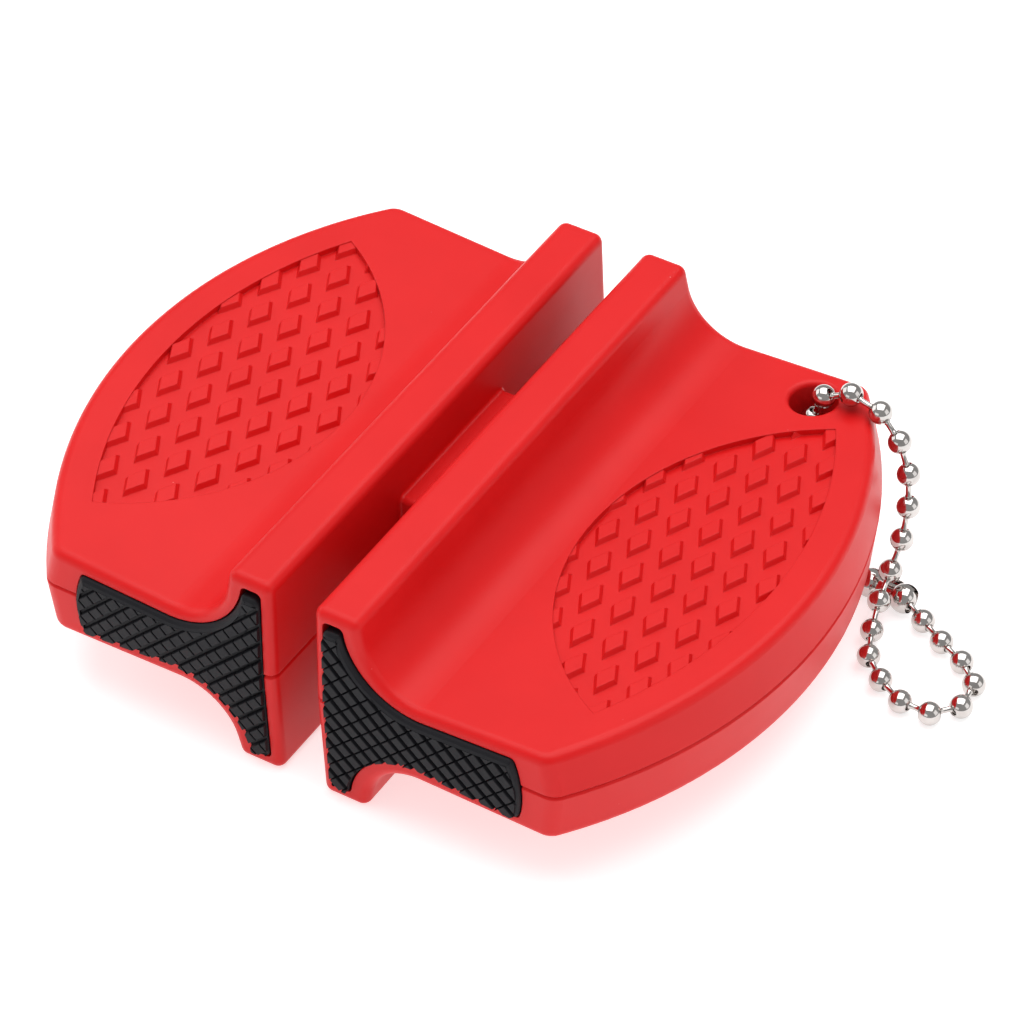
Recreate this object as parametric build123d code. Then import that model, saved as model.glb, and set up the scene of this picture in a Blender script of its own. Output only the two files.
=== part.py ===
from build123d import *
import math
import os

os.makedirs("parts", exist_ok=True)

# ---------------------------------------------------------------------------
# Pocket edge tuning tool: two mirrored wings joined by a bridge block that
# sits in the guide slot between them.  The moulding is split at mid height
# into an upper and a lower shell; both carry half of each wing and half of
# the bridge.  +X runs across the wings towards the wing that carries the key
# chain, +Y runs along the guide slot, +Z is up.  The tool rests on the lower
# edges of its two guide ridges at z = 0.  All lengths are in millimetres.
# ---------------------------------------------------------------------------

# body
HEIGHT = 24.1            # over the guide ridges
Z_SEAM = 12.75           # parting plane of the two shells
HALF_LEN = 30.6          # half length along the slot, at the seam
END_DRAFT = 1.95         # draft of the end faces, degrees
RIM_R = 48.75            # plan radius of the outer rim, at the seam
RIM_XC = -9.45           # x of that radius' centre
SLOT_HALF_SEAM = 2.26    # half width of the guide slot at the seam
SLOT_HALF_TOP = 2.33     # half width of the guide slot at the ridge tops
RIDGE_OUT = 7.20         # outer edge of the ridge's flat top
COVE_R = 6.0             # concave cove from ridge to wing
COVE_X = 13.6
EDGE_R = 1.0             # edge rounding
CORNER_R = 2.0           # upright corners between end face and rim
SEAM_CH = 0.24           # half width of the V groove at the seam

# the two halves, all measured from the seam:
# ridge height, cove centre, slope of the wing's face, rim draft, bridge face,
# cutter crossing, chamber depth
UP = dict(h=11.35, cove=9.69, slope=0.064, rim=12.0, bridge=5.75, vertex=4.55, chamber=1.65)
LOW = dict(h=12.75, cove=11.66, slope=0.020, rim=6.5, bridge=7.15, vertex=5.95, chamber=3.45)

# bridge block in the slot
BR_Y0, BR_Y1 = -8.4, 10.4
BR_R = 0.6
THROAT_TOP = 0.46        # half width of the V throat at the bridge's face
THROAT_BOT = 0.30
THROAT_DEEP = 1.3
CUT_Y = 1.0              # middle of the bridge along the slot

# cutters
CUT_LEAN = 20.0          # lean of each cutter from the vertical, degrees
BLADE_T, BLADE_W = 1.5, 3.0
ROD_R = 1.2
CUT_GAP = 0.03           # play of a cutter in its pocket

# grip field on each wing face
LEAF_TIP = (28.2, 22.9)
LEAF_OUT, LEAF_IN = 34.5, 14.25
LEAF_DEPTH = 0.66
RH_SINK = 0.12              # the lozenges stop short of the wing surface
RH_DRAFT = 0.28             # how much wider they are at their foot
RH_W, RH_L = 1.85, 3.5   # raised lozenge, across and along the slot
RH_PX, RH_PY = 3.53, 4.48
RH_XC = 24.8

# end pads
PAD_GAP = 0.12
PAD_FLOOR = 28.7         # y of the pocket floor
PAD_PROUD = 0.25         # the pad stands out of the end face

# key chain hole
HOLE_X, HOLE_Y, HOLE_R = 24.0, 26.0, 2.4
HOLE_EDGE_R = 0.5

# inner chambers and screws
CH_X0, CH_Y = 9.4, 26.4
SCREW_X, SCREW_Y = 14.6, 19.4
BOSS_R = 2.7
SCREW_HEAD_R, SCREW_HEAD_H = 1.9, 1.3
SCREW_R, SCREW_TIP = 1.0, 14.7
HEAD_SEAT = 8.8          # z of the screw head's seat

# ball chain: 2.4 mm balls, drawn as a plain tube of the balls' diameter
BALL_D = 2.4
CON_GAP, CON_R, CON_WALL, CON_WAIST = 3.99, 1.52, 0.24, 1.0
CHAIN_PATH = [
    (33.95, 20.45, 1.52), (31.15, 20.84, 1.21), (27.00, 23.26, 1.63), (24.00, 26.00, 6.23),
    (24.00, 26.00, 11.58), (23.76, 26.15, 16.21), (26.15, 26.44, 18.88), (29.83, 26.49, 19.13),
    (32.99, 25.96, 17.52), (35.26, 25.21, 13.85), (36.08, 24.01, 10.09), (36.26, 22.26, 6.40),
    (36.16, 20.60, 4.28), (36.27, 18.39, 3.17), (37.27, 14.70, 1.43), (38.83, 10.76, 1.39),
    (42.23, 8.51, 1.21), (46.31, 6.65, 1.22), (49.97, 9.14, 1.21), (49.77, 13.57, 1.21),
    (45.92, 16.05, 1.21), (42.05, 17.61, 1.21), (39.69, 19.60, 1.24), (37.93, 20.16, 1.52),
]


def wing_top(x, half):
    """Height of a wing face above the seam at x."""
    a = math.atan(half["slope"])
    x0 = COVE_X + COVE_R * math.sin(a)
    z0 = half["cove"] - COVE_R * math.cos(a)
    return z0 + half["slope"] * (x - x0)


def flip(shape):
    """The same shape upside down about the seam."""
    return mirror(shape, about=Plane.XY.offset(Z_SEAM))


def left(shape):
    return mirror(shape, about=Plane.YZ)


def back(shape):
    return mirror(shape, about=Plane.XZ)


# ---------------------------------------------------------------------------
# outer form of one wing half (right side, above the seam)
# ---------------------------------------------------------------------------
def wing_half(half):
    """Right wing of one half, built upward from z = 0 at the seam."""
    a = math.atan(half["slope"])
    top, cove_z = half["h"], half["cove"]
    end = (COVE_X + COVE_R * math.sin(a), cove_z - COVE_R * math.cos(a))
    # tangent from the ridge's outer edge to the cove
    cx, cz = RIDGE_OUT - COVE_X, top - cove_z
    dist = math.hypot(cx, cz)
    ang = math.atan2(cz, cx) + math.acos(COVE_R / dist)
    tan_pt = (COVE_X + COVE_R * math.cos(ang), cove_z + COVE_R * math.sin(ang))
    mid_ang = (ang + (1.5 * math.pi + a)) / 2
    mid = (COVE_X + COVE_R * math.cos(mid_ang), cove_z + COVE_R * math.sin(mid_ang))
    xo = 45.0
    pts_line = [
        Line((SLOT_HALF_SEAM, 0), (SLOT_HALF_TOP, top)),
        Line((SLOT_HALF_TOP, top), (RIDGE_OUT, top)),
        Line((RIDGE_OUT, top), tan_pt),
        ThreePointArc(tan_pt, mid, end),
        Line(end, (xo, wing_top(xo, half))),
        Line((xo, wing_top(xo, half)), (xo, 0)),
        Line((xo, 0), (SLOT_HALF_SEAM, 0)),
    ]
    prof = Plane.XZ * make_face(Wire(pts_line))
    body = extrude(prof, amount=40, both=True)
    h = top + 1
    dy = h * math.tan(math.radians(END_DRAFT))
    trap = Plane.YZ * make_face(Polyline(
        (-HALF_LEN, 0), (HALF_LEN, 0), (HALF_LEN - dy, h), (-HALF_LEN + dy, h), close=True))
    body = body & extrude(trap, amount=50, both=True)
    cone = Pos(RIM_XC, 0, h / 2) * Cone(
        RIM_R, RIM_R - h * math.tan(math.radians(half["rim"])), h)
    return body & cone


def half_form(half):
    """Both wings and the bridge of one half, built upward from the seam."""
    w = wing_half(half)
    w = fillet([e for e in w.edges() if e.center().X > 20 and abs(e.tangent_at(0.5).Z) > 0.8],
               CORNER_R)
    soft = [e for e in w.edges() if abs(e.center().Z) > 1e-3
            and not (abs(e.tangent_at(0.5).Y) > 0.999 and 7.5 < e.center().X < 20)
            and not (e.center().X > 20 and abs(e.tangent_at(0.5).Z) > 0.8)]
    w = fillet(soft, EDGE_R)
    w = chamfer([e for e in w.edges() if abs(e.center().Z) < 1e-3
                 and abs(e.position_at(0.0).Z) < 1e-3], SEAM_CH)
    top = half["bridge"]
    br = Pos(0, (BR_Y0 + BR_Y1) / 2, top / 2) * Box(
        2 * (SLOT_HALF_TOP + 1.5), BR_Y1 - BR_Y0, top)
    br = fillet([e for e in br.edges() if abs(e.center().Z - top) < 1e-3
                 and abs(e.tangent_at(0.5).X) > 0.9], BR_R)
    form = w + left(w) + br
    # the block runs into the slot walls in a small cove
    wall = SLOT_HALF_SEAM + top / half["h"] * (SLOT_HALF_TOP - SLOT_HALF_SEAM)
    cove = [e for e in form.edges()
            if abs(abs(e.center().X) - wall) < 0.02 and abs(e.center().Z - top) < 0.05
            and abs(e.tangent_at(0.5).Y) > 0.9 and e.length > 10]
    return Pos(0, 0, Z_SEAM) * fillet(cove, 0.35)


upper_form = half_form(UP)
lower_form = flip(half_form(LOW))

# ---------------------------------------------------------------------------
# grip field: a leaf shaped recess that leaves raised lozenges standing
# ---------------------------------------------------------------------------
tx, ty = LEAF_TIP
leaf = make_face(Wire([
    ThreePointArc((tx, -ty), (LEAF_OUT, 0), (tx, ty)),
    ThreePointArc((tx, ty), (LEAF_IN, 0), (tx, -ty)),
]))
centres = []
for row in range(-5, 6):
    shift = 0.5 if row % 2 == 0 else 0.0
    for col in range(-5, 6):
        x = RH_XC + (col + shift) * RH_PX
        y = row * RH_PY
        if LEAF_IN - 1.2 < x < LEAF_OUT + 1.2 and abs(y) < ty + 2.5:
            centres.append((x, y))


def lozenge(x, y, z, grow):
    """Flat lozenge at height z whose sides stand out by grow."""
    side = math.hypot(RH_W, RH_L)
    a, b = RH_W / 2 + grow * side / RH_L, RH_L / 2 + grow * side / RH_W
    return Pos(0, 0, z) * make_face(Polyline(
        (x + a, y), (x, y + b), (x - a, y), (x, y - b), close=True))


def above(half, depth):
    """Everything more than depth below the wing surface is left out."""
    slab = Plane.XZ * make_face(Polyline(
        (8, wing_top(8, half) - depth), (42, wing_top(42, half) - depth),
        (42, 20), (8, 20), close=True))
    return extrude(leaf, amount=30) & extrude(slab, amount=40, both=True)


def field_tool(half):
    tool = above(half, LEAF_DEPTH)
    tall = LEAF_DEPTH - RH_SINK
    studs = []
    for x, y in centres:
        foot = wing_top(x, half) - LEAF_DEPTH
        k = RH_DRAFT / tall
        studs.append(loft([lozenge(x, y, foot - 0.3, RH_DRAFT + 0.3 * k),
                           lozenge(x, y, foot + tall + 0.2, -0.2 * k)], ruled=True))
    tool = tool - studs
    tool = tool + above(half, RH_SINK)
    return Pos(0, 0, Z_SEAM) * tool


field_up, field_low = field_tool(UP), flip(field_tool(LOW))

# ---------------------------------------------------------------------------
# end pad pocket and pad (right wing, front end)
# ---------------------------------------------------------------------------
PAD_X0, PAD_X1 = 3.42, 5.65      # width of the pad's narrow ends
PAD_Z0, PAD_Z1 = 1.45, 22.95     # tips of the pad
PAD_CX, PAD_CR = 14.0, 8.4       # arcs that follow the coves
PAD_CU, PAD_CL = 23.8, 0.75      # z of the arc centres
sq = PAD_CR * math.sqrt(0.5)
pad_wire = [
    Line((PAD_X0, PAD_Z1), (PAD_X1, PAD_Z1)),
    ThreePointArc((PAD_X1, PAD_Z1), (PAD_CX - sq, PAD_CU - sq), (PAD_CX, PAD_CU - PAD_CR)),
    Line((PAD_CX, PAD_CU - PAD_CR), (24.2, 15.9)),
    ThreePointArc((24.2, 15.9), (25.1, 12.2), (24.6, 8.2)),
    Line((24.6, 8.2), (PAD_CX, PAD_CL + PAD_CR)),
    ThreePointArc((PAD_CX, PAD_CL + PAD_CR), (PAD_CX - sq, PAD_CL + sq), (PAD_X1, PAD_Z0)),
    Line((PAD_X1, PAD_Z0), (PAD_X0, PAD_Z0)),
    Line((PAD_X0, PAD_Z0), (PAD_X0, PAD_Z1)),
]
pad_face = make_face(Wire(pad_wire))
pad_face = fillet(pad_face.vertices().filter_by(
    lambda v: abs(v.X - PAD_CX) > 0.1), 0.6)
pocket = Pos(0, -PAD_FLOOR, 0) * extrude(Plane.XZ * pad_face, amount=5)
pad_in = offset(pad_face, -PAD_GAP)
pad = Pos(0, -PAD_FLOOR, 0) * extrude(Plane.XZ * pad_in, amount=5)
slope = math.tan(math.radians(END_DRAFT))
drop = (HEIGHT - Z_SEAM) * slope
face_y = HALF_LEN + PAD_PROUD
pad_prism = Plane.YZ * make_face(Polyline(
    (-face_y + Z_SEAM * slope, 0), (-face_y, Z_SEAM), (-face_y + drop, HEIGHT),
    (-20, HEIGHT), (-20, 0), close=True))
pad = pad & extrude(pad_prism, amount=40)
pad = chamfer([e for e in pad.edges() if e.center().Y < -face_y + drop + 0.1
               and abs(e.center().Z - Z_SEAM) > 0.01], 0.3)

# ---------------------------------------------------------------------------
# inner chamber, screw bosses, chain hole
# ---------------------------------------------------------------------------
def chamber_half(deep):
    box = Pos((CH_X0 + 45) / 2, 0, Z_SEAM + deep / 2) * Box(45 - CH_X0, 2 * CH_Y, deep)
    cyl = Pos(RIM_XC, 0, Z_SEAM + deep / 2) * Cylinder(RIM_R - 2.9, deep)
    c = box & cyl
    for y in (-SCREW_Y, SCREW_Y):
        c = c - Pos(SCREW_X, y, Z_SEAM + deep / 2) * Cylinder(BOSS_R, deep)
    return c


hole_boss = Pos(HOLE_X, HOLE_Y, Z_SEAM) * Cylinder(HOLE_R + 1.7, 20)
ch_up, ch_low = chamber_half(UP["chamber"]), flip(chamber_half(LOW["chamber"]))

# ---------------------------------------------------------------------------
# V throat and cutter pockets in the bridge
# ---------------------------------------------------------------------------
def throat(half):
    top = Z_SEAM + half["bridge"]
    v = make_face(Polyline(
        (-THROAT_TOP, top), (THROAT_TOP, top),
        (THROAT_BOT, top - THROAT_DEEP), (-THROAT_BOT, top - THROAT_DEEP), close=True))
    return Pos(0, 30, 0) * extrude(Plane.XZ * v, amount=60) \
        + Pos(0, CUT_Y, top + 0.5) * Box(2 * THROAT_TOP, 40, 1.0)


lean = math.radians(CUT_LEAN)


def along(half, width):
    """Ends of a cutter measured along it from the crossing."""
    return (-(half["vertex"] - 0.12) / math.cos(lean) + width * math.tan(lean),
            (half["bridge"] - 0.35 - half["vertex"]) / math.cos(lean))


def blade(side, yc, grow=0.0):
    """Flat cutter; its inner face is one flank of the V.  side -1 leans left."""
    s0, s1 = along(UP, BLADE_T)
    n = (side * math.cos(lean), -math.sin(lean))
    d = (side * math.sin(lean), math.cos(lean))
    cx = 0.5 * (s0 + s1) * d[0] + 0.5 * BLADE_T * n[0]
    cz = Z_SEAM + UP["vertex"] + 0.5 * (s0 + s1) * d[1] + 0.5 * BLADE_T * n[1]
    b = Box(BLADE_T + 2 * grow, BLADE_W + 2 * grow, s1 - s0 + 2 * grow)
    return Pos(cx, yc, cz) * Rot(0, side * CUT_LEAN, 0) * b


y_a, y_b = CUT_Y - BLADE_W / 2 - 0.25, CUT_Y + BLADE_W / 2 + 0.25
blade_a, blade_b = blade(-1, y_a), blade(1, y_b)


def rod(side, yc, grow=0.0):
    s0, s1 = along(LOW, 2 * ROD_R)
    n = (side * math.cos(lean), -math.sin(lean))
    d = (side * math.sin(lean), math.cos(lean))
    cx = 0.5 * (s0 + s1) * d[0] + ROD_R * n[0]
    cz = Z_SEAM + LOW["vertex"] + 0.5 * (s0 + s1) * d[1] + ROD_R * n[1]
    c = Cylinder(ROD_R + grow, s1 - s0 + 2 * grow)
    if grow == 0:
        c = chamfer(c.edges(), 0.15)
    return Pos(cx, yc, cz) * Rot(0, side * CUT_LEAN, 0) * c


y_c, y_d = CUT_Y - ROD_R - 0.25, CUT_Y + ROD_R + 0.25
rod_a, rod_b = flip(rod(-1, y_c)), flip(rod(1, y_d))

# ---------------------------------------------------------------------------
# screws (from below, one in each quarter)
# ---------------------------------------------------------------------------
def screw(x, y):
    head = Pos(x, y, HEAD_SEAT - SCREW_HEAD_H / 2) * Cylinder(SCREW_HEAD_R, SCREW_HEAD_H)
    head = chamfer([e for e in head.edges() if e.center().Z < HEAD_SEAT - 0.1], 0.25)
    shank = Pos(x, y, (HEAD_SEAT + SCREW_TIP) / 2) * Cylinder(SCREW_R, SCREW_TIP - HEAD_SEAT)
    shank = chamfer([e for e in shank.edges() if e.center().Z > SCREW_TIP - 0.1], 0.35)
    s = head + shank
    bar = Box(2.3, 0.62, 1.4)
    drive = Pos(x, y, HEAD_SEAT - SCREW_HEAD_H) * (bar + Rot(0, 0, 90) * bar)
    return s - drive


screw_spots = [(sx * SCREW_X, sy * SCREW_Y) for sx in (-1, 1) for sy in (-1, 1)]
screws = [screw(x, y) for x, y in screw_spots]

# ---------------------------------------------------------------------------
# shells
# ---------------------------------------------------------------------------
pockets = (pocket, left(pocket), back(pocket), left(back(pocket)))

upper = upper_form - field_up - left(field_up)
for p in pockets:
    upper = upper - p
upper = upper - (ch_up - hole_boss) - left(ch_up)
upper = upper - throat(UP) - blade(-1, y_a, CUT_GAP) - blade(1, y_b, CUT_GAP)
for x, y in screw_spots:
    deep = SCREW_TIP + 0.3 - Z_SEAM
    upper = upper - Pos(x, y, Z_SEAM + deep / 2) * Cylinder(SCREW_R + 0.02, deep)
upper = upper - Pos(HOLE_X, HOLE_Y, 15) * Cylinder(HOLE_R, 30)

lower = lower_form - field_low - left(field_low)
for p in pockets:
    lower = lower - p
lower = lower - (ch_low - hole_boss) - left(ch_low)
lower = lower - flip(throat(LOW)) - flip(rod(-1, y_c, CUT_GAP)) - flip(rod(1, y_d, CUT_GAP))
for x, y in screw_spots:
    lower = lower - Pos(x, y, 8) * Cylinder(SCREW_R + 0.15, 16)
    lower = lower - Pos(x, y, HEAD_SEAT / 2) * Cylinder(SCREW_HEAD_R + 0.25, HEAD_SEAT)
lower = lower - Pos(HOLE_X, HOLE_Y, 5) * Cylinder(HOLE_R, 30)


def round_hole(shell, z):
    es = []
    for e in shell.edges():
        box = e.bounding_box()
        c = box.center()
        if (abs(c.Z - z) < 0.3 and box.size.Z < 0.6
                and math.hypot(c.X - HOLE_X, c.Y - HOLE_Y) < 0.3
                and abs(box.size.Y - 2 * HOLE_R) < 0.1):
            es.append(e)
    if not es:
        for e in shell.edges():
            box = e.bounding_box()
            c = box.center()
            if abs(c.Z - z) < 1.0 and math.hypot(c.X - HOLE_X, c.Y - HOLE_Y) < 3:
                print("near hole", e.geom_type, c, box.size)
    return fillet(es, HOLE_EDGE_R)


upper = round_hole(upper, Z_SEAM + wing_top(HOLE_X, UP))
lower = round_hole(lower, Z_SEAM - wing_top(HOLE_X, LOW))

# ---------------------------------------------------------------------------
# key chain: closed loop through the hole, both ends in a snap connector
# ---------------------------------------------------------------------------
pts = [Vector(*q) for q in CHAIN_PATH]
radii = []
for i in range(1, len(pts) - 1):
    u, v = pts[i] - pts[i - 1], pts[i + 1] - pts[i]
    turn = math.radians(u.get_angle(v))
    radii.append(0.45 * min(u.length, v.length) / math.tan(turn / 2))
chain_line = FilletPolyline(*pts, radius=radii)
start = Plane(origin=pts[0], z_dir=(pts[1] - pts[0]).normalized())
ball_chain = sweep(start * Circle(BALL_D / 2), path=chain_line)
print("chain length", round(chain_line.length, 2), "radii", [round(r, 1) for r in radii],
      "volume", round(ball_chain.volume, 2),
      "section x length", round(math.pi * BALL_D ** 2 / 4 * chain_line.length, 2))

half_gap = CON_GAP / 2


def dumbbell(r_ball, r_waist):
    body = Rot(0, 90, 0) * Cylinder(r_waist, CON_GAP)
    for x in (-half_gap, half_gap):
        body = body + Pos(x, 0, 0) * Sphere(r_ball)
    return body


con = dumbbell(CON_R, CON_WAIST)
con = con - dumbbell(CON_R - CON_WALL, CON_WAIST - CON_WALL)
for x in (-half_gap - 1.5, half_gap + 1.5):
    con = con - Pos(x, 0, 0) * Rot(0, 90, 0) * Cylinder(BALL_D / 2 + 0.04, 3.0)
con = con - Rot(-40, 0, 0) * Pos(0, 0, 1.5) * Box(9, 0.8, 2.0)
lip = Rot(-55, 0, 0) * Pos(0.62, 0, CON_WAIST + 0.12) * Box(1.1, 0.22, 0.62)
con = con + lip
heading = pts[-1] - pts[0]
chain_connector = Pos(*((pts[0] + pts[-1]) * 0.5)) * Rot(
    0, 0, math.degrees(math.atan2(heading.Y, heading.X))) * con
print("connector", chain_connector.is_valid, len(chain_connector.solids()),
      chain_connector.bounding_box())

print("upper valid", upper.is_valid, "solids", len(upper.solids()), "vol", round(upper.volume, 1))
print("lower valid", lower.is_valid, "solids", len(lower.solids()), "vol", round(lower.volume, 1))

export_step(upper, "parts/upper_shell.step")
export_step(lower, "parts/lower_shell.step")
export_step(pad, "parts/pad_front_right.step")
export_step(left(pad), "parts/pad_front_left.step")
export_step(back(pad), "parts/pad_back_right.step")
export_step(left(back(pad)), "parts/pad_back_left.step")
export_step(blade_a, "parts/carbide_blade_front.step")
export_step(blade_b, "parts/carbide_blade_rear.step")
export_step(rod_a, "parts/ceramic_rod_front.step")
export_step(rod_b, "parts/ceramic_rod_rear.step")
export_step(Compound(children=screws), "parts/shell_screws.step")
export_step(ball_chain, "parts/ball_chain.step")
export_step(chain_connector, "parts/chain_connector.step")
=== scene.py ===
import bpy, bmesh, math, random
from mathutils import Vector, Matrix


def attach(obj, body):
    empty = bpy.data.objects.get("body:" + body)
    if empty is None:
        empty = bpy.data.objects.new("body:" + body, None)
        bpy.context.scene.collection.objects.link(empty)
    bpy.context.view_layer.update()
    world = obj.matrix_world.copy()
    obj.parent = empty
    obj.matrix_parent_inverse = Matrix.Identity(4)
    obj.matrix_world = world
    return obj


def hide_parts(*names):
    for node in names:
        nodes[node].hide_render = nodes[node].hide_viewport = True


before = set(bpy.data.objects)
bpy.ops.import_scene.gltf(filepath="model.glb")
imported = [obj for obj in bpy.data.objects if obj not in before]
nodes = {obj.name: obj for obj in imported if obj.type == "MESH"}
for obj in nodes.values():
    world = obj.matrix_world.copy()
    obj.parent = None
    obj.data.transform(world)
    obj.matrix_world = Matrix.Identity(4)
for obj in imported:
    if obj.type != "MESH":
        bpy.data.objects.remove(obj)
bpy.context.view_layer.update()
MM = 0.001
random.seed(7)

# ---------------------------------------------------------------------------
# sizes shared with the model, in millimetres
# ---------------------------------------------------------------------------
Z_SEAM, HEIGHT, HALF_LEN = 12.75, 24.1, 30.6
END_SLOPE = math.tan(math.radians(1.95))
BALL_R = 1.2
CHAIN_PATH = [
    (33.95, 20.45, 1.52), (31.15, 20.84, 1.21), (27.00, 23.26, 1.63), (24.00, 26.00, 6.23),
    (24.00, 26.00, 11.58), (23.76, 26.15, 16.21), (26.15, 26.44, 18.88), (29.83, 26.49, 19.13),
    (32.99, 25.96, 17.52), (35.26, 25.21, 13.85), (36.08, 24.01, 10.09), (36.26, 22.26, 6.40),
    (36.16, 20.60, 4.28), (36.27, 18.39, 3.17), (37.27, 14.70, 1.43), (38.83, 10.76, 1.39),
    (42.23, 8.51, 1.21), (46.31, 6.65, 1.22), (49.97, 9.14, 1.21), (49.77, 13.57, 1.21),
    (45.92, 16.05, 1.21), (42.05, 17.61, 1.21), (39.69, 19.60, 1.24), (37.93, 20.16, 1.52),
]


# ---------------------------------------------------------------------------
# camera
# ---------------------------------------------------------------------------
def make_camera():
    az, el, roll = (math.radians(v) for v in (32.525, 42.567, -1.196))
    back = Vector((math.sin(az) * math.cos(el), -math.cos(az) * math.cos(el), math.sin(el)))
    right = Vector((math.cos(az), math.sin(az), 0))
    up = back.cross(right)
    r2 = right * math.cos(roll) + up * math.sin(roll)
    u2 = -right * math.sin(roll) + up * math.cos(roll)
    cam = bpy.data.objects.new("camera", bpy.data.cameras.new("camera"))
    bpy.context.scene.collection.objects.link(cam)
    m = Matrix((r2, u2, back)).transposed().to_4x4()
    m.translation = Vector((201.627, -308.097, 349.230)) * MM
    cam.matrix_world = m
    cam.data.sensor_width = 36
    cam.data.lens = 179.71
    cam.data.clip_start = 0.01
    cam.data.clip_end = 20
    bpy.context.scene.camera = cam


make_camera()


# ---------------------------------------------------------------------------
# small helpers
# ---------------------------------------------------------------------------
def link(obj):
    bpy.context.scene.collection.objects.link(obj)
    return obj


def mesh_object(name, verts, faces, smooth=True):
    me = bpy.data.meshes.new(name)
    me.from_pydata([tuple(c * MM for c in v) for v in verts], [], faces)
    me.validate()
    me.update()
    if smooth:
        me.shade_smooth()
    return link(bpy.data.objects.new(name, me))


def bake_modifiers(obj):
    dg = bpy.context.evaluated_depsgraph_get()
    me = bpy.data.meshes.new_from_object(obj.evaluated_get(dg))
    old = obj.data
    obj.modifiers.clear()
    obj.data = me
    if old.users == 0:
        bpy.data.meshes.remove(old)


def node(nt, kind, loc=(0, 0), **props):
    n = nt.nodes.new(kind)
    n.location = loc
    for k, v in props.items():
        if k in n.inputs:
            n.inputs[k].default_value = v
        else:
            setattr(n, k, v)
    return n


def new_material(name):
    m = bpy.data.materials.new(name)
    m.use_nodes = True
    nt = m.node_tree
    return m, nt, nt.nodes["Principled BSDF"]


def ramp(nt, stops, interp="LINEAR"):
    r = nt.nodes.new("ShaderNodeValToRGB")
    r.color_ramp.interpolation = interp
    while len(r.color_ramp.elements) > 1:
        r.color_ramp.elements.remove(r.color_ramp.elements[-1])
    r.color_ramp.elements[0].position = stops[0][0]
    r.color_ramp.elements[0].color = (*stops[0][1], 1)
    for p, c in stops[1:]:
        e = r.color_ramp.elements.new(p)
        e.color = (*c, 1)
    return r


# ---------------------------------------------------------------------------
# materials
# ---------------------------------------------------------------------------
def red_plastic():
    m, nt, b = new_material("red_shell")
    L = nt.links.new
    b.inputs["Roughness"].default_value = 0.30
    b.inputs["IOR"].default_value = 1.50
    b.inputs["Subsurface Weight"].default_value = 0.10
    b.inputs["Subsurface Radius"].default_value = (0.0012, 0.0004, 0.0003)
    b.inputs["Subsurface Scale"].default_value = 1.0
    b.inputs["Specular IOR Level"].default_value = 0.22
    co = nt.nodes.new("ShaderNodeTexCoord")
    big = node(nt, "ShaderNodeTexNoise", Scale=90.0, Detail=3.0, Roughness=0.55)
    L(co.outputs["Object"], big.inputs["Vector"])
    col = ramp(nt, [(0.30, (0.615, 0.0070, 0.0078)), (0.70, (0.655, 0.0090, 0.0098))])
    L(big.outputs["Fac"], col.inputs["Fac"])
    # rare pale dust specks
    dust = node(nt, "ShaderNodeTexVoronoi", Scale=420.0, Randomness=1.0)
    L(co.outputs["Object"], dust.inputs["Vector"])
    speck = ramp(nt, [(0.0, (1, 1, 1)), (0.020, (1, 1, 1)), (0.035, (0, 0, 0))])
    L(dust.outputs["Distance"], speck.inputs["Fac"])
    gate = node(nt, "ShaderNodeTexNoise", Scale=260.0, Detail=1.0)
    L(co.outputs["Object"], gate.inputs["Vector"])
    gr = ramp(nt, [(0.60, (0, 0, 0)), (0.66, (1, 1, 1))])
    L(gate.outputs["Fac"], gr.inputs["Fac"])
    mul = node(nt, "ShaderNodeMath", operation="MULTIPLY")
    L(speck.outputs["Color"], mul.inputs[0])
    L(gr.outputs["Color"], mul.inputs[1])
    mul2 = node(nt, "ShaderNodeMath", operation="MULTIPLY")
    L(mul.outputs[0], mul2.inputs[0])
    mul2.inputs[1].default_value = 0.35
    mix = nt.nodes.new("ShaderNodeMix")
    mix.data_type = "RGBA"
    L(mul2.outputs[0], mix.inputs["Factor"])
    L(col.outputs["Color"], mix.inputs[6])
    mix.inputs[7].default_value = (0.9, 0.45, 0.42, 1)
    L(mix.outputs[2], b.inputs["Base Color"])
    # roughness: satin with faint smudges
    sm = node(nt, "ShaderNodeTexNoise", Scale=55.0, Detail=6.0, Roughness=0.7)
    L(co.outputs["Object"], sm.inputs["Vector"])
    rr = ramp(nt, [(0.30, (0.34, 0.34, 0.34)), (0.75, (0.44, 0.44, 0.44))])
    L(sm.outputs["Fac"], rr.inputs["Fac"])
    L(rr.outputs["Color"], b.inputs["Roughness"])
    # fine moulded texture and slow waviness
    fine = node(nt, "ShaderNodeTexNoise", Scale=2600.0, Detail=2.0)
    slow = node(nt, "ShaderNodeTexNoise", Scale=130.0, Detail=2.0)
    L(co.outputs["Object"], fine.inputs["Vector"])
    L(co.outputs["Object"], slow.inputs["Vector"])
    bf = node(nt, "ShaderNodeBump", Strength=0.05, Distance=0.00003)
    bs = node(nt, "ShaderNodeBump", Strength=0.12, Distance=0.0002)
    L(fine.outputs["Fac"], bf.inputs["Height"])
    L(slow.outputs["Fac"], bs.inputs["Height"])
    edge = nt.nodes.new("ShaderNodeBevel")
    edge.samples = 6
    edge.inputs["Radius"].default_value = 0.00014
    L(edge.outputs["Normal"], bf.inputs["Normal"])
    L(bf.outputs["Normal"], bs.inputs["Normal"])
    L(bs.outputs["Normal"], b.inputs["Normal"])
    return m


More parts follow.
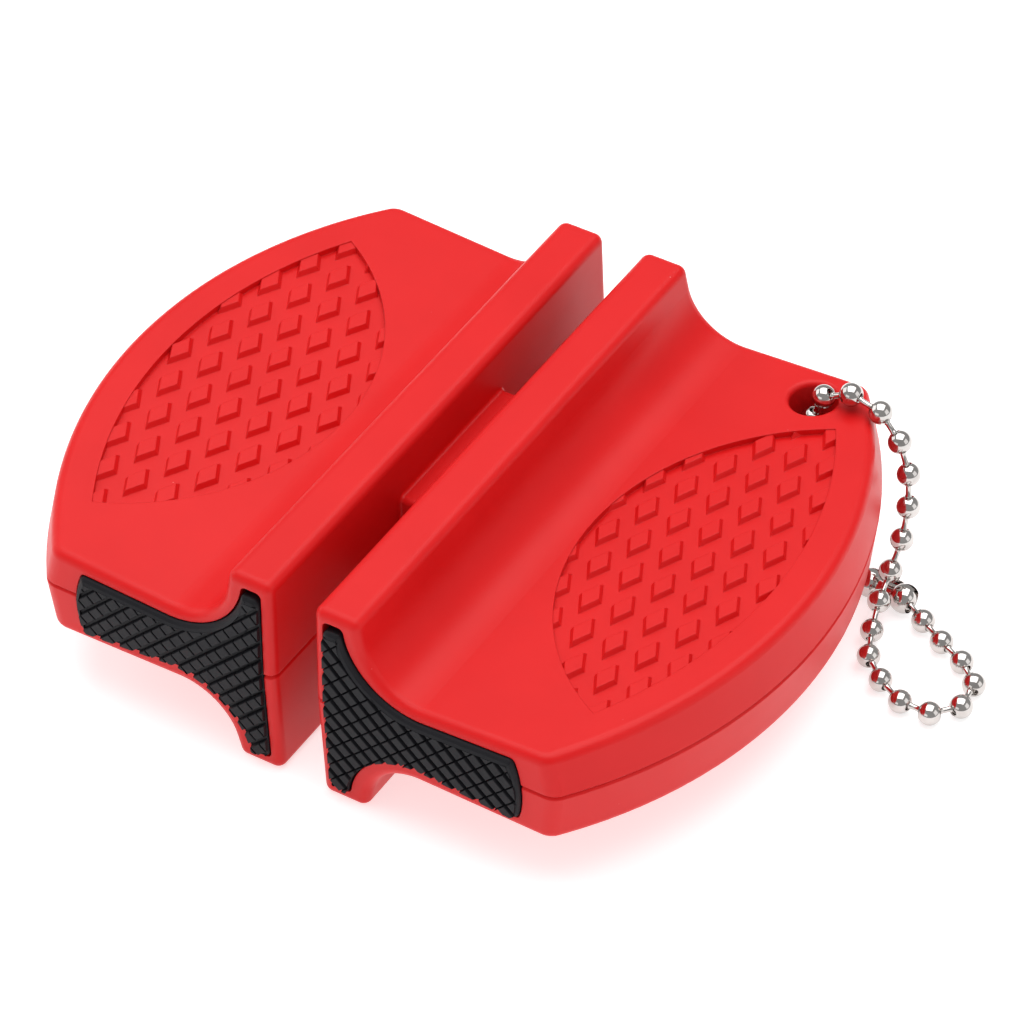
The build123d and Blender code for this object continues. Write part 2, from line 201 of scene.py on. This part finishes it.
def pad_rubber():
    m, nt, b = new_material("pad_rubber")
    L = nt.links.new
    co = nt.nodes.new("ShaderNodeTexCoord")
    n = node(nt, "ShaderNodeTexNoise", Scale=900.0, Detail=5.0, Roughness=0.65)
    L(co.outputs["Object"], n.inputs["Vector"])
    c = ramp(nt, [(0.25, (0.0038, 0.0035, 0.0054)), (0.75, (0.0068, 0.0063, 0.0092))])
    L(n.outputs["Fac"], c.inputs["Fac"])
    L(c.outputs["Color"], b.inputs["Base Color"])
    r = ramp(nt, [(0.2, (0.50, 0.50, 0.50)), (0.8, (0.66, 0.66, 0.66))])
    L(n.outputs["Fac"], r.inputs["Fac"])
    L(r.outputs["Color"], b.inputs["Roughness"])
    b.inputs["Specular IOR Level"].default_value = 0.22
    g = node(nt, "ShaderNodeTexNoise", Scale=3500.0, Detail=2.0)
    L(co.outputs["Object"], g.inputs["Vector"])
    bu = node(nt, "ShaderNodeBump", Strength=0.35, Distance=0.00004)
    L(g.outputs["Fac"], bu.inputs["Height"])
    L(bu.outputs["Normal"], b.inputs["Normal"])
    return m


def metal(name, dark, light, rough, scale=700.0, bump=0.05):
    m, nt, b = new_material(name)
    L = nt.links.new
    b.inputs["Metallic"].default_value = 1.0
    co = nt.nodes.new("ShaderNodeTexCoord")
    n = node(nt, "ShaderNodeTexNoise", Scale=scale, Detail=4.0, Roughness=0.6)
    L(co.outputs["Object"], n.inputs["Vector"])
    c = ramp(nt, [(0.3, dark), (0.7, light)])
    L(n.outputs["Fac"], c.inputs["Fac"])
    L(c.outputs["Color"], b.inputs["Base Color"])
    r = ramp(nt, [(0.3, (rough[0],) * 3), (0.7, (rough[1],) * 3)])
    L(n.outputs["Fac"], r.inputs["Fac"])
    L(r.outputs["Color"], b.inputs["Roughness"])
    bu = node(nt, "ShaderNodeBump", Strength=bump, Distance=0.00003)
    L(n.outputs["Fac"], bu.inputs["Height"])
    L(bu.outputs["Normal"], b.inputs["Normal"])
    return m


def ceramic():
    m, nt, b = new_material("ceramic")
    L = nt.links.new
    co = nt.nodes.new("ShaderNodeTexCoord")
    n = node(nt, "ShaderNodeTexNoise", Scale=1500.0, Detail=6.0, Roughness=0.7)
    L(co.outputs["Object"], n.inputs["Vector"])
    c = ramp(nt, [(0.3, (0.62, 0.59, 0.54)), (0.7, (0.80, 0.78, 0.73))])
    L(n.outputs["Fac"], c.inputs["Fac"])
    L(c.outputs["Color"], b.inputs["Base Color"])
    b.inputs["Roughness"].default_value = 0.7
    bu = node(nt, "ShaderNodeBump", Strength=0.4, Distance=0.00005)
    L(n.outputs["Fac"], bu.inputs["Height"])
    L(bu.outputs["Normal"], b.inputs["Normal"])
    return m


RED = red_plastic()
RUBBER = pad_rubber()
NICKEL = metal("nickel", (0.50, 0.47, 0.45), (0.62, 0.59, 0.57), (0.05, 0.12))
CARBIDE = metal("carbide", (0.16, 0.16, 0.17), (0.30, 0.30, 0.32), (0.28, 0.42), 1500.0, 0.15)
SCREW = metal("screw_steel", (0.05, 0.05, 0.055), (0.10, 0.10, 0.11), (0.30, 0.45), 900.0)
CERAMIC = ceramic()


def paint(obj, material):
    obj.data.materials.clear()
    obj.data.materials.append(material)
    for p in obj.data.polygons:
        p.material_index = 0


for name in ("upper_shell", "lower_shell"):
    paint(nodes[name], RED)
for name in ("carbide_blade_front", "carbide_blade_rear"):
    paint(nodes[name], CARBIDE)
for name in ("ceramic_rod_front", "ceramic_rod_rear"):
    paint(nodes[name], CERAMIC)
paint(nodes["shell_screws"], SCREW)
paint(nodes["chain_connector"], NICKEL)


# ---------------------------------------------------------------------------
# end pads: chamfered rubber slab with a field of square studs
# ---------------------------------------------------------------------------
PX0, PX1, PZ0, PZ1 = 3.42, 5.55, 1.50, 22.35
PCX, PCR, PCU, PCL = 14.0, 8.4, 23.8, 0.75
STUD = 1.49
STUD_HIGH, STUD_LOW = 0.58, 0.16
# half sizes of a stud along and across its row, from its top to its foot
STUD_LEVELS = [(0.43, 0.60, STUD_HIGH), (0.49, 0.655, STUD_HIGH - 0.03), (0.63, 0.725, STUD_LOW)]


def arc3(a, b, c, n):
    """Points from a to c on the circle through a, b and c (c left out)."""
    ax, ay = a; bx, by = b; cx, cy = c
    d = 2 * (ax * (by - cy) + bx * (cy - ay) + cx * (ay - by))
    ux = ((ax * ax + ay * ay) * (by - cy) + (bx * bx + by * by) * (cy - ay) + (cx * cx + cy * cy) * (ay - by)) / d
    uy = ((ax * ax + ay * ay) * (cx - bx) + (bx * bx + by * by) * (ax - cx) + (cx * cx + cy * cy) * (bx - ax)) / d
    r = math.hypot(ax - ux, ay - uy)
    t0, tm, t1 = (math.atan2(p[1] - uy, p[0] - ux) for p in (a, b, c))
    def ccw(s, e):
        return (e - s) % (2 * math.pi)
    sweep = ccw(t0, t1)
    if ccw(t0, tm) > sweep:
        sweep -= 2 * math.pi
    return [(ux + r * math.cos(t0 + sweep * i / n), uy + r * math.sin(t0 + sweep * i / n)) for i in range(n)]


def pad_outline():
    """Closed outline in x, z; corners carry their rounding radius."""
    q = PCR * math.sqrt(0.5)
    pts = [((PX0, PZ1), 1.1), ((PX1, PZ1), 0.5)]
    pts += [(p, 0) for p in arc3((PX1, PZ1), (PCX - q, PCU - q), (PCX, PCU - PCR), 26)[1:]]
    pts += [((PCX, PCU - PCR), 0), ((24.2, 15.9), 0.7)]
    pts += [(p, 0) for p in arc3((24.2, 15.9), (25.1, 12.2), (24.6, 8.2), 10)[1:]]
    pts += [((24.6, 8.2), 1.3), ((PCX, PCL + PCR), 0)]
    pts += [(p, 0) for p in arc3((PCX, PCL + PCR), (PCX - q, PCL + q), (PX1, PZ0), 26)[1:]]
    pts += [((PX1, PZ0), 0.5), ((PX0, PZ0), 1.0)]
    out = []
    n = len(pts)
    for i, (p, r) in enumerate(pts):
        if not r:
            out.append(Vector(p))
            continue
        a, c, b = (Vector(pts[(i - 1) % n][0]), Vector(p), Vector(pts[(i + 1) % n][0]))
        # walk back along the neighbours for the tangent lengths
        u, v = (a - c).normalized(), (b - c).normalized()
        ang = u.angle(v)
        t = min(r / math.tan(ang / 2), (a - c).length * 0.95 if (a - c).length > 1.5 else 0.8,
                (b - c).length * 0.95 if (b - c).length > 1.5 else 0.8)
        s, e = c + u * t, c + v * t
        for k in range(9):
            w = k / 8
            out.append(s * (1 - w) ** 2 + c * 2 * w * (1 - w) + e * w * w)
    # drop points that fold back
    clean = [out[0]]
    for p in out[1:]:
        if (p - clean[-1]).length > 0.08:
            clean.append(p)
    return clean


def inset(poly, d, band=None):
    """Move an outline inward by d; band gives more where it faces up or away from the slot."""
    n = len(poly)
    area = sum(poly[i].x * poly[(i + 1) % n].y - poly[(i + 1) % n].x * poly[i].y for i in range(n))
    sign = 1 if area > 0 else -1
    res = []
    for i in range(n):
        a, c, b = poly[i - 1], poly[i], poly[(i + 1) % n]
        u, v = (c - a).normalized(), (b - c).normalized()
        n1, n2 = Vector((-u.y, u.x)) * sign, Vector((-v.y, v.x)) * sign
        m = (n1 + n2)
        m = m.normalized() if m.length > 1e-6 else n1
        k = 1 / max(0.5, m.dot(n1))
        w = d + ((band - d) * facing(c, m) if band else 0.0)
        res.append(c + m * w * k)
    return res


def facing(c, inward):
    """1 where the pad's edge faces up, along the cove, and less at its outer end."""
    up = max(0.0, -inward.y)
    end = max(0.0, -inward.x) if c.x > 20 else 0.0
    return min(1.0, (up / 0.4) ** 2 + end ** 4 * 0.5)


def signed_area(poly):
    return 0.5 * sum(a[0] * b[1] - b[0] * a[1] for a, b in zip(poly, poly[1:] + poly[:1]))


def clip(subject, window):
    """The part of a closed outline inside a small convex window."""
    if signed_area(window) < 0:
        window = window[::-1]
    out = subject
    for a, b in zip(window, window[1:] + window[:1]):
        nx, nz = -(b[1] - a[1]), b[0] - a[0]
        dist = [(p[0] - a[0]) * nx + (p[1] - a[1]) * nz for p in out]
        res = []
        for k, p in enumerate(out):
            q, dp, dq = out[k - 1], dist[k], dist[k - 1]
            if (dp >= 0) != (dq >= 0):
                w = dq / (dq - dp)
                res.append((q[0] + (p[0] - q[0]) * w, q[1] + (p[1] - q[1]) * w))
            if dp >= 0:
                res.append(p)
        out = res
        if not out:
            break
    return out


def lay(x, z, out):
    """Point on the end face: x, z and the height out of the face."""
    return (x, -(HALF_LEN + out) + abs(z - Z_SEAM) * END_SLOPE, z)


def make_pad_mesh():
    base = inset(pad_outline(), 0.12)
    norm = [(q - p).normalized() if (q - p).length > 1e-6 else Vector((0, 1))
            for p, q in zip(base, inset(base, 0.05))]
    tilt = [facing(p, m) for p, m in zip(base, norm)]

    def ring_at(d, band, low, high):
        """Ring inset by d, or band where the edge faces up, and as high as it is broad."""
        return inset(base, d, band), [low + (high - low) * w for w in tilt]
    flat = [1.0] * len(base)
    rings = [(base, [-1.7 * w for w in flat]), (base, [0.10 * w for w in flat]),
             ring_at(0.04, 0.10, 0.20, 0.26), ring_at(0.10, 0.34, 0.24, 0.46),
             ring_at(0.16, 0.66, 0.22, 0.56), ring_at(0.22, 0.74, 0.17, 0.22)]
    bm = bmesh.new()
    prev = None
    for poly, d in rings:
        ring = [bm.verts.new(Vector((p.x, h, p.y))) for p, h in zip(poly, d)]
        if prev:
            for i in range(len(ring)):
                j = (i + 1) % len(ring)
                bm.faces.new((prev[i], prev[j], ring[j], ring[i]))
        else:
            bm.faces.new(list(reversed(ring)))
        prev = ring
    bm.faces.new(prev)
    bmesh.ops.triangulate(bm, faces=[f for f in bm.faces if len(f.verts) > 4])
    bmesh.ops.recalc_face_normals(bm, faces=bm.faces)
    slab = bpy.data.meshes.new("slab")
    bm.to_mesh(slab)
    bm.free()

    # studs: a field of square frustums laid at 45 degrees, cut off at the outline
    cut = [(p.x, p.y) for p in inset(base, 0.06, 0.68)]
    c45 = math.sqrt(0.5)
    tops, lows, faces = {}, {}, []
    vlist = []

    def vert(key, x, d, z):
        store = tops if key[0] else lows
        if key not in store:
            store[key] = len(vlist)
            vlist.append((x, d, z))
        return store[key]

    for i in range(-24, 26):
        for j in range(-24, 26):
            cx = 14.0 + (i - j) * STUD * c45
            cz = 12.0 + (i + j) * STUD * c45
            if not (2.0 < cx < 27.0 and -0.5 < cz < 25.0):
                continue
            corner = [(1, 1), (-1, 1), (-1, -1), (1, -1)]

            def pt(k, level):
                lx, lz = corner[k % 4][0] * level[0], corner[k % 4][1] * level[1]
                return (cx + (lx - lz) * c45, cz + (lx + lz) * c45)
            cells = [[pt(k, STUD_LEVELS[0]) for k in range(4)]]
            for l0, l1 in zip(STUD_LEVELS, STUD_LEVELS[1:]):
                for k in range(4):
                    cells.append([pt(k, l0), pt(k + 1, l0), pt(k + 1, l1), pt(k, l1)])

            def height(x, z):
                u = abs((x - cx) * c45 + (z - cz) * c45)
                v = abs(-(x - cx) * c45 + (z - cz) * c45)
                for (a0, b0, d0), (a1, b1, d1) in zip(STUD_LEVELS, STUD_LEVELS[1:]):
                    w = max((u - a0) / (a1 - a0), (v - b0) / (b1 - b0))
                    if w <= 1:
                        return d0 + (d1 - d0) * max(0.0, w)
                return STUD_LEVELS[-1][2]
            edges = {}
            for cell in cells:
                poly = clip(cut, cell)
                if len(poly) < 3 or abs(signed_area(poly)) < 0.004:
                    continue
                if signed_area(poly) < 0:
                    poly.reverse()
                ids = []
                for x, z in poly:
                    q = (i, j, round(x, 3), round(z, 3))
                    if not ids or ids[-1] != q:
                        ids.append(q)
                if ids[0] == ids[-1]:
                    ids.pop()
                if len(ids) < 3 or len(set(ids)) < len(ids):
                    continue
                up = [vert((1,) + q, q[2], height(q[2], q[3]), q[3]) for q in ids]
                dn = [vert((0,) + q, q[2], 0.12, q[3]) for q in ids]
                faces.append(up)
                faces.append(dn[::-1])
                for a, b in zip(ids, ids[1:] + ids[:1]):
                    if (b, a) in edges:
                        del edges[(b, a)]
                    else:
                        edges[(a, b)] = 1
            for a, b in edges:
                faces.append([tops[(1,) + b], tops[(1,) + a], lows[(0,) + a], lows[(0,) + b]])
    studs = bpy.data.meshes.new("studs")
    studs.from_pydata(vlist, [], faces)

    bm = bmesh.new()
    bm.from_mesh(slab)
    bm.from_mesh(studs)
    for v in bm.verts:
        v.co = Vector(lay(v.co.x, v.co.z, v.co.y)) * MM
    bmesh.ops.recalc_face_normals(bm, faces=bm.faces)
    out = bpy.data.meshes.new("pad")
    bm.to_mesh(out)
    bm.free()
    for p in out.polygons:
        p.use_smooth = False
    return out


PAD_MESH = make_pad_mesh()


def make_pad(name, sx, sy):
    me = PAD_MESH.copy()
    me.transform(Matrix.Diagonal((sx, sy, 1, 1)))
    if sx * sy < 0:
        me.flip_normals()
    o = link(bpy.data.objects.new("rubber_" + name, me))
    o.data.materials.append(RUBBER)
    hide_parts(name)
    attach(o, "tool")
    return o


make_pad("pad_front_right", 1, 1)
make_pad("pad_front_left", -1, 1)
make_pad("pad_back_right", 1, -1)
make_pad("pad_back_left", -1, -1)


# ---------------------------------------------------------------------------
# ball chain
# ---------------------------------------------------------------------------
def chain_curve():
    cu = bpy.data.curves.new("chain_route", "CURVE")
    cu.dimensions = "3D"
    cu.resolution_u = 24
    sp = cu.splines.new("NURBS")
    sp.points.add(len(CHAIN_PATH) - 1)
    for p, q in zip(sp.points, CHAIN_PATH):
        p.co = (q[0] * MM, q[1] * MM, q[2] * MM, 1)
    sp.order_u = 3
    sp.use_endpoint_u = True
    return link(bpy.data.objects.new("chain_route", cu))


def route_points():
    o = chain_curve()
    dg = bpy.context.evaluated_depsgraph_get()
    me = bpy.data.meshes.new_from_object(o.evaluated_get(dg))
    pts = [v.co.copy() for v in me.vertices]
    bpy.data.meshes.remove(me)
    bpy.data.objects.remove(o)
    return pts


class Route:
    def __init__(self, pts):
        self.p = pts
        self.s = [0.0]
        for a, b in zip(pts, pts[1:]):
            self.s.append(self.s[-1] + (b - a).length)
        self.length = self.s[-1]

    def at(self, s):
        s = min(max(s, 0.0), self.length)
        lo, hi = 0, len(self.s) - 1
        while hi - lo > 1:
            mid = (lo + hi) // 2
            if self.s[mid] <= s:
                lo = mid
            else:
                hi = mid
        d = self.s[hi] - self.s[lo]
        t = (s - self.s[lo]) / d if d else 0
        return self.p[lo].lerp(self.p[hi], t)


def basis(direction, twist):
    w = direction.normalized()
    ref = Vector((0, 0, 1)) if abs(w.z) < 0.9 else Vector((1, 0, 0))
    u = ref.cross(w).normalized()
    v = w.cross(u)
    c, s = math.cos(twist), math.sin(twist)
    return u * c + v * s, -u * s + v * c, w


def lathe(bm, origin, axes, profile, seg=28):
    """Rings of (radius, height) round an axis; radius 0 closes to a point."""
    u, v, w = axes
    prev = None
    for r, h in profile:
        if r < 1e-9:
            ring = [bm.verts.new(origin + w * h)]
        else:
            ring = [bm.verts.new(origin + w * h + u * (r * math.cos(2 * math.pi * k / seg))
                                 + v * (r * math.sin(2 * math.pi * k / seg))) for k in range(seg)]
        if prev:
            for k in range(seg):
                j = (k + 1) % seg
                if len(prev) == 1 and len(ring) == 1:
                    continue
                if len(prev) == 1:
                    bm.faces.new((prev[0], ring[j], ring[k]))
                elif len(ring) == 1:
                    bm.faces.new((prev[k], prev[j], ring[0]))
                else:
                    bm.faces.new((prev[k], prev[j], ring[j], ring[k]))
        prev = ring


def ball_profile():
    """Hollow rolled ball: the mouth at each pole turns inward round the link."""
    r, mouth = BALL_R * MM, 0.46 * MM
    out = [(mouth - 0.08 * MM, -r * 0.62), (mouth - 0.06 * MM, -r * 0.84), (mouth, -r * 0.915)]
    a0 = math.asin(mouth / r) + 0.07
    n = 20
    for i in range(n + 1):
        a = a0 + (math.pi - 2 * a0) * i / n
        out.append((r * math.sin(a), -r * math.cos(a)))
    out += [(mouth, r * 0.915), (mouth - 0.06 * MM, r * 0.84), (mouth - 0.08 * MM, r * 0.62)]
    return out


def link_profile(length):
    """Dumbbell link: thin waist, small heads hidden inside the balls."""
    h, wst, head = length / 2, 0.29 * MM, 0.40 * MM
    return [(0, -h - 0.26 * MM), (head * 0.8, -h - 0.2 * MM), (head, -h), (head * 0.8, -h + 0.2 * MM),
            (wst, -h + 0.34 * MM), (wst, 0), (wst, h - 0.34 * MM), (head * 0.8, h - 0.2 * MM), (head, h),
            (head * 0.8, h + 0.2 * MM), (0, h + 0.26 * MM)]


def make_chain():
    pts = route_points()
    route = Route(pts)
    stations = [s * MM for s in BALL_AT]
    scale = route.length / stations[-1]
    stations = [s * scale for s in stations]
    centres = [route.at(s) for s in stations]
    bm = bmesh.new()
    prof = ball_profile()
    n = len(centres)
    for i, c in enumerate(centres):
        a = centres[i - 1] if i else centres[0] * 2 - centres[1]
        b = centres[i + 1] if i + 1 < n else centres[-1] * 2 - centres[-2]
        lathe(bm, c, basis(b - a, random.uniform(0, 6.28)), prof, 32)
    for a, b in zip(centres, centres[1:]):
        d = (b - a)
        lathe(bm, (a + b) / 2, basis(d, 0.3), link_profile(d.length - 2 * 0.84 * BALL_R * MM), 14)
    bmesh.ops.recalc_face_normals(bm, faces=bm.faces)
    me = bpy.data.meshes.new("ball_chain_beads")
    bm.to_mesh(me)
    bm.free()
    me.shade_smooth()
    o = link(bpy.data.objects.new("ball_chain_beads", me))
    o.data.materials.append(NICKEL)
    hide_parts("ball_chain")
    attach(o, "chain")
    return route


BALL_AT = [0, 3.56, 7.12, 10.68, 14.24, 17.8, 21.4, 24.83, 28.18, 31.71, 35.2, 38.62, 42.03, 45.44,
           48.78, 52.12, 55.42, 58.82, 62.25, 65.67, 68.99, 72.29, 75.7, 79.03, 82.39, 85.8, 89.23]
ROUTE = make_chain()


# ---------------------------------------------------------------------------
# floor and light
# ---------------------------------------------------------------------------
def stage():
    me = bpy.data.meshes.new("floor")
    me.from_pydata([(-4, -4, 0), (4, -4, 0), (4, 4, 0), (-4, 4, 0)], [], [(0, 1, 2, 3)])
    floor = link(bpy.data.objects.new("floor", me))
    floor.location.z = -0.00002
    m, nt, b = new_material("floor")
    b.inputs["Base Color"].default_value = (0.68, 0.68, 0.68, 1)
    b.inputs["Roughness"].default_value = 0.9
    b.inputs["Specular IOR Level"].default_value = 0.05
    b.inputs["Emission Color"].default_value = (1, 1, 1, 1)
    b.inputs["Emission Strength"].default_value = 0.62
    floor.data.materials.append(m)
    world = bpy.data.worlds.new("world")
    bpy.context.scene.world = world
    world.use_nodes = True
    bg = world.node_tree.nodes["Background"]
    bg.inputs["Color"].default_value = (1, 1, 1, 1)
    bg.inputs["Strength"].default_value = 0.40

    def area(name, loc, target, size, radiance):
        """A softbox; its power follows from its face's brightness."""
        li = bpy.data.lights.new(name, "AREA")
        li.shape = "RECTANGLE"
        li.size, li.size_y = size
        li.energy = radiance * math.pi * size[0] * size[1]
        o = link(bpy.data.objects.new(name, li))
        o.location = loc
        o.rotation_euler = (Vector(target) - Vector(loc)).to_track_quat("-Z", "Y").to_euler()
    area("top", (-0.05, 0.15, 0.90), (0, 0, 0), (1.1, 1.1), 2.6)
    area("left", (-0.80, -0.10, 0.45), (0, 0, 0.01), (0.7, 0.6), 1.3)
    area("right", (0.85, 0.15, 0.40), (0, 0, 0.01), (0.6, 0.6), 0.9)
    area("front", (-0.15, -0.85, 0.30), (0, 0, 0.01), (0.6, 0.3), 0.9)


stage()
sc = bpy.context.scene
sc.view_settings.view_transform = "Standard"
sc.view_settings.look = "None"
sc.view_settings.exposure = 0.0
sc.view_settings.gamma = 1.0
